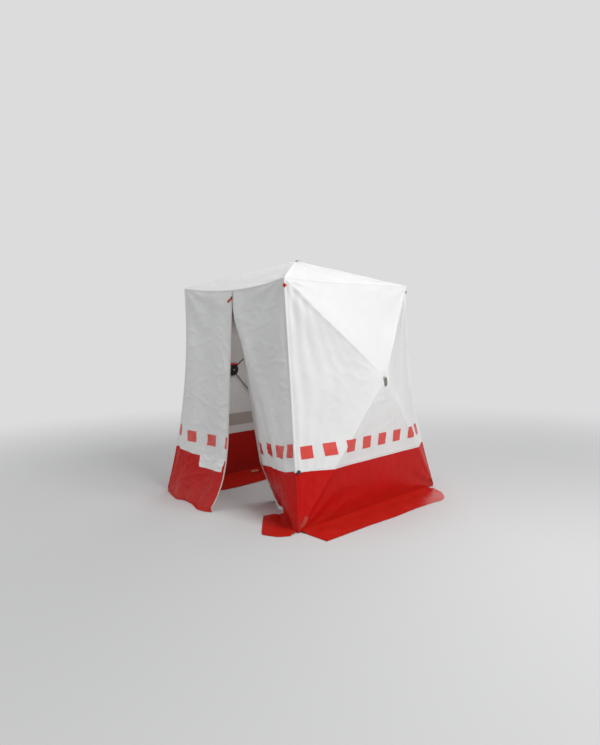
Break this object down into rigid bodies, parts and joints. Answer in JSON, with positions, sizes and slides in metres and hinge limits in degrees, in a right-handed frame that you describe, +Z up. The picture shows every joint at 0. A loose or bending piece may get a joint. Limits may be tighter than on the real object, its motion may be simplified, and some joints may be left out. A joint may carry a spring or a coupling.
{
  "type": "pop-up welding tent",
  "caption": "Square free-standing pop-up work shelter of white over red cloth, held up by push-out hubs with sprung rods, with a two-part zipped door and mud flaps.",
  "frame": {"origin": "on the ground, in the middle of the whole outline, mud flaps included", "axes": "+Z up, the door faces -Y, +X is the viewer's right when facing the door"},
  "size_m": [2.2011, 2.1756, 2.1522],
  "materials": {
    "white_cloth": "white coated tent cloth, slightly glossy",
    "red_cloth": "red coated tent cloth, slightly glossy",
    "zip_tape": "cream woven tape",
    "label": "blank white patch",
    "webbing": "grey-brown webbing",
    "steel_wire": "zinc plated wire",
    "washer": "light grey moulded plastic",
    "red_plastic": "red moulded plastic",
    "hub_plastic": "black moulded plastic",
    "slider": "black painted zip slider",
    "glass_fibre": "dark glass-fibre rod",
    "fitting_plastic": "black moulded plastic"
  },
  "bodies": {
    "tent": {"back_wall_red": "red_cloth", "back_wall_white": "white_cloth", "corner_back_left": "fitting_plastic", "corner_back_right": "fitting_plastic", "corner_front_left": "fitting_plastic", "corner_front_right": "fitting_plastic", "foot_back_left": "fitting_plastic", "foot_back_right": "fitting_plastic", "foot_front_left": "fitting_plastic", "foot_front_right": "fitting_plastic", "left_wall_red": "red_cloth", "left_wall_white": "white_cloth", "right_wall_red": "red_cloth", "right_wall_white": "white_cloth", "roof_panel": "white_cloth"},
    "left_door": {"left_door_white": "white_cloth", "left_door_red": "red_cloth", "left_zip_tape": "zip_tape", "label_patch": "label"},
    "right_door": {"right_door_white": "white_cloth", "right_door_red": "red_cloth", "right_zip_tape": "zip_tape"},
    "zip_slider": {"zip_slider": "slider"},
    "zip_puller": {"zip_puller": "red_plastic"},
    "roof_hub": {"roof_hub": "hub_plastic", "roof_hinge_wire": "steel_wire", "roof_hub_washer": "washer", "roof_hub_grip": "red_plastic"},
    "roof_strap": {"roof_pull_strap": "webbing"},
    "roof_rod_front_right": {"roof_rod_front_right": "glass_fibre"},
    "roof_rod_back_right": {"roof_rod_back_right": "glass_fibre"},
    "roof_rod_back_left": {"roof_rod_back_left": "glass_fibre"},
    "roof_rod_front_left": {"roof_rod_front_left": "glass_fibre"},
    "right_hub": {"right_hub": "hub_plastic", "right_hinge_wire": "steel_wire", "right_hub_washer": "washer", "right_hub_grip": "red_plastic"},
    "right_strap": {"right_pull_strap": "webbing"},
    "right_rod_foot_front": {"right_rod_foot_front": "glass_fibre"},
    "right_rod_foot_back": {"right_rod_foot_back": "glass_fibre"},
    "right_rod_top_back": {"right_rod_top_back": "glass_fibre"},
    "right_rod_top_front": {"right_rod_top_front": "glass_fibre"},
    "left_hub": {"left_hub": "hub_plastic", "left_hinge_wire": "steel_wire", "left_hub_washer": "washer", "left_hub_grip": "red_plastic"},
    "left_strap": {"left_pull_strap": "webbing"},
    "left_rod_foot_back": {"left_rod_foot_back": "glass_fibre"},
    "left_rod_foot_front": {"left_rod_foot_front": "glass_fibre"},
    "left_rod_top_front": {"left_rod_top_front": "glass_fibre"},
    "left_rod_top_back": {"left_rod_top_back": "glass_fibre"},
    "back_hub": {"back_hub": "hub_plastic", "back_hinge_wire": "steel_wire", "back_hub_washer": "washer", "back_hub_grip": "red_plastic"},
    "back_strap": {"back_pull_strap": "webbing"},
    "back_rod_foot_right": {"back_rod_foot_right": "glass_fibre"},
    "back_rod_foot_left": {"back_rod_foot_left": "glass_fibre"},
    "back_rod_top_left": {"back_rod_top_left": "glass_fibre"},
    "back_rod_top_right": {"back_rod_top_right": "glass_fibre"}
  },
  "joints": [
    {"name": "roof_hub_slide", "type": "slide", "parent": "tent", "child": "roof_hub", "axis": [0, 0, 1], "range_m": [-0.4794, 0], "deforming": ["roof_panel"]},
    {"name": "roof_strap_hinge", "type": "hinge", "parent": "roof_hub", "child": "roof_strap", "pos_m": [-0.0735, 0, 2.1483], "axis": [0, -1, 0], "range_deg": [0, 150]},
    {"name": "roof_rod_front_right_hinge", "type": "hinge", "parent": "roof_hub", "child": "roof_rod_front_right", "pos_m": [-0.0489, -0.02896, 2.1167], "axis": [0.7622, 0.6473, 0], "range_deg": [-30.69, 1]},
    {"name": "roof_rod_back_right_hinge", "type": "hinge", "parent": "roof_hub", "child": "roof_rod_back_right", "pos_m": [-0.0489, 0.02896, 2.1167], "axis": [-0.7622, 0.6473, 0], "range_deg": [-30.69, 1]},
    {"name": "roof_rod_back_left_hinge", "type": "hinge", "parent": "roof_hub", "child": "roof_rod_back_left", "pos_m": [-0.0981, 0.02896, 2.1167], "axis": [-0.7622, -0.6473, 0], "range_deg": [-30.69, 1]},
    {"name": "roof_rod_front_left_hinge", "type": "hinge", "parent": "roof_hub", "child": "roof_rod_front_left", "pos_m": [-0.0981, -0.02896, 2.1167], "axis": [0.7622, -0.6473, 0], "range_deg": [-30.69, 1]},
    {"name": "right_hub_slide", "type": "slide", "parent": "tent", "child": "right_hub", "axis": [0.9929, 0, 0.1188], "range_m": [-0.5114, 0], "deforming": ["right_wall_white"]},
    {"name": "right_strap_hinge", "type": "hinge", "parent": "right_hub", "child": "right_strap", "pos_m": [0.95367, 0, 1.10258], "axis": [0, -1, 0], "range_deg": [0, 150]},
    {"name": "right_rod_foot_front_hinge", "type": "hinge", "parent": "right_hub", "child": "right_rod_foot_front", "pos_m": [0.92584, -0.02355, 1.06921], "axis": [0.0737, 0.7847, -0.6154], "range_deg": [-24.18, 1]},
    {"name": "right_rod_foot_back_hinge", "type": "hinge", "parent": "right_hub", "child": "right_rod_foot_back", "pos_m": [0.92577, 0.02432, 1.06983], "axis": [-0.0761, 0.7683, 0.6355], "range_deg": [-23.66, 1]},
    {"name": "right_rod_top_back_hinge", "type": "hinge", "parent": "right_hub", "child": "right_rod_top_back", "pos_m": [0.919, 0.02592, 1.12641], "axis": [-0.0811, -0.7313, 0.6773], "range_deg": [-29.03, 1]},
    {"name": "right_rod_top_front_hinge", "type": "hinge", "parent": "right_hub", "child": "right_rod_top_front", "pos_m": [0.919, -0.02592, 1.12641], "axis": [0.0811, -0.7313, -0.6773], "range_deg": [-29.03, 1]},
    {"name": "left_hub_slide", "type": "slide", "parent": "tent", "child": "left_hub", "axis": [-0.9929, 0, 0.1188], "range_m": [-0.5114, 0], "deforming": ["left_wall_white"]},
    {"name": "left_strap_hinge", "type": "hinge", "parent": "left_hub", "child": "left_strap", "pos_m": [-1.10067, 0, 1.10258], "axis": [0, 1, 0], "range_deg": [0, 150]},
    {"name": "left_rod_foot_back_hinge", "type": "hinge", "parent": "left_hub", "child": "left_rod_foot_back", "pos_m": [-1.07277, 0.02432, 1.06983], "axis": [-0.0761, -0.7683, -0.6355], "range_deg": [-23.66, 1]},
    {"name": "left_rod_foot_front_hinge", "type": "hinge", "parent": "left_hub", "child": "left_rod_foot_front", "pos_m": [-1.07284, -0.02355, 1.06921], "axis": [0.0737, -0.7847, 0.6154], "range_deg": [-24.18, 1]},
    {"name": "left_rod_top_front_hinge", "type": "hinge", "parent": "left_hub", "child": "left_rod_top_front", "pos_m": [-1.066, -0.02592, 1.12641], "axis": [0.0811, 0.7313, 0.6773], "range_deg": [-29.03, 1]},
    {"name": "left_rod_top_back_hinge", "type": "hinge", "parent": "left_hub", "child": "left_rod_top_back", "pos_m": [-1.066, 0.02592, 1.12641], "axis": [-0.0811, 0.7313, -0.6773], "range_deg": [-29.03, 1]},
    {"name": "back_hub_slide", "type": "slide", "parent": "tent", "child": "back_hub", "axis": [0, 0.9983, 0.0587], "range_m": [-0.5114, 0], "deforming": ["back_wall_white"]},
    {"name": "back_strap_hinge", "type": "hinge", "parent": "back_hub", "child": "back_strap", "pos_m": [-0.0735, 1.09383, 1.0871], "axis": [1, 0, 0], "range_deg": [0, 150]},
    {"name": "back_rod_foot_right_hinge", "type": "hinge", "parent": "back_hub", "child": "back_rod_foot_right", "pos_m": [-0.04916, 1.064, 1.05611], "axis": [-0.768, 0.0376, -0.6394], "range_deg": [-23.74, 1]},
    {"name": "back_rod_foot_left_hinge", "type": "hinge", "parent": "back_hub", "child": "back_rod_foot_left", "pos_m": [-0.09784, 1.064, 1.05611], "axis": [-0.768, -0.0376, 0.6394], "range_deg": [-23.74, 1]},
    {"name": "back_rod_top_left_hinge", "type": "hinge", "parent": "back_hub", "child": "back_rod_top_left", "pos_m": [-0.09721, 1.06054, 1.11489], "axis": [0.7815, -0.0366, 0.6228], "range_deg": [-31.37, 1]},
    {"name": "back_rod_top_right_hinge", "type": "hinge", "parent": "back_hub", "child": "back_rod_top_right", "pos_m": [-0.04979, 1.06054, 1.11489], "axis": [0.7815, 0.0366, -0.6228], "range_deg": [-31.37, 1]},
    {"name": "left_door_swing", "type": "hinge", "parent": "tent", "child": "left_door", "pos_m": [-0.9735, -0.9, 0.004], "axis": [-0.4383, -0.0703, -0.8961], "range_deg": [0, 117]},
    {"name": "right_door_swing", "type": "hinge", "parent": "tent", "child": "right_door", "pos_m": [0.8265, -0.9, 0.004], "axis": [-0.4383, 0.0703, 0.8961], "range_deg": [0, 117]},
    {"name": "zip_slide", "type": "slide", "parent": "left_door", "child": "zip_slider", "axis": [0, -0.0678, -0.9977], "range_m": [0, 1]},
    {"name": "zip_puller_hinge", "type": "hinge", "parent": "zip_slider", "child": "zip_puller", "pos_m": [-0.0815, -0.7693, 1.79179], "axis": [-1, 0, 0], "range_deg": [0, 150]}
  ],
  "couplings": [
    {"joint": "roof_rod_front_right_hinge", "follows": "roof_hub_slide", "rad_per_m": 1.0992},
    {"joint": "roof_rod_back_right_hinge", "follows": "roof_hub_slide", "rad_per_m": 1.0992},
    {"joint": "roof_rod_back_left_hinge", "follows": "roof_hub_slide", "rad_per_m": 1.0992},
    {"joint": "roof_rod_front_left_hinge", "follows": "roof_hub_slide", "rad_per_m": 1.0992},
    {"joint": "right_rod_foot_front_hinge", "follows": "right_hub_slide", "rad_per_m": 0.80824},
    {"joint": "right_rod_foot_back_hinge", "follows": "right_hub_slide", "rad_per_m": 0.79035},
    {"joint": "right_rod_top_back_hinge", "follows": "right_hub_slide", "rad_per_m": 0.97379},
    {"joint": "right_rod_top_front_hinge", "follows": "right_hub_slide", "rad_per_m": 0.97379},
    {"joint": "left_rod_foot_back_hinge", "follows": "left_hub_slide", "rad_per_m": 0.79035},
    {"joint": "left_rod_foot_front_hinge", "follows": "left_hub_slide", "rad_per_m": 0.80824},
    {"joint": "left_rod_top_front_hinge", "follows": "left_hub_slide", "rad_per_m": 0.97379},
    {"joint": "left_rod_top_back_hinge", "follows": "left_hub_slide", "rad_per_m": 0.97379},
    {"joint": "back_rod_foot_right_hinge", "follows": "back_hub_slide", "rad_per_m": 0.79303},
    {"joint": "back_rod_foot_left_hinge", "follows": "back_hub_slide", "rad_per_m": 0.79303},
    {"joint": "back_rod_top_left_hinge", "follows": "back_hub_slide", "rad_per_m": 1.0536},
    {"joint": "back_rod_top_right_hinge", "follows": "back_hub_slide", "rad_per_m": 1.0536}
  ]
}
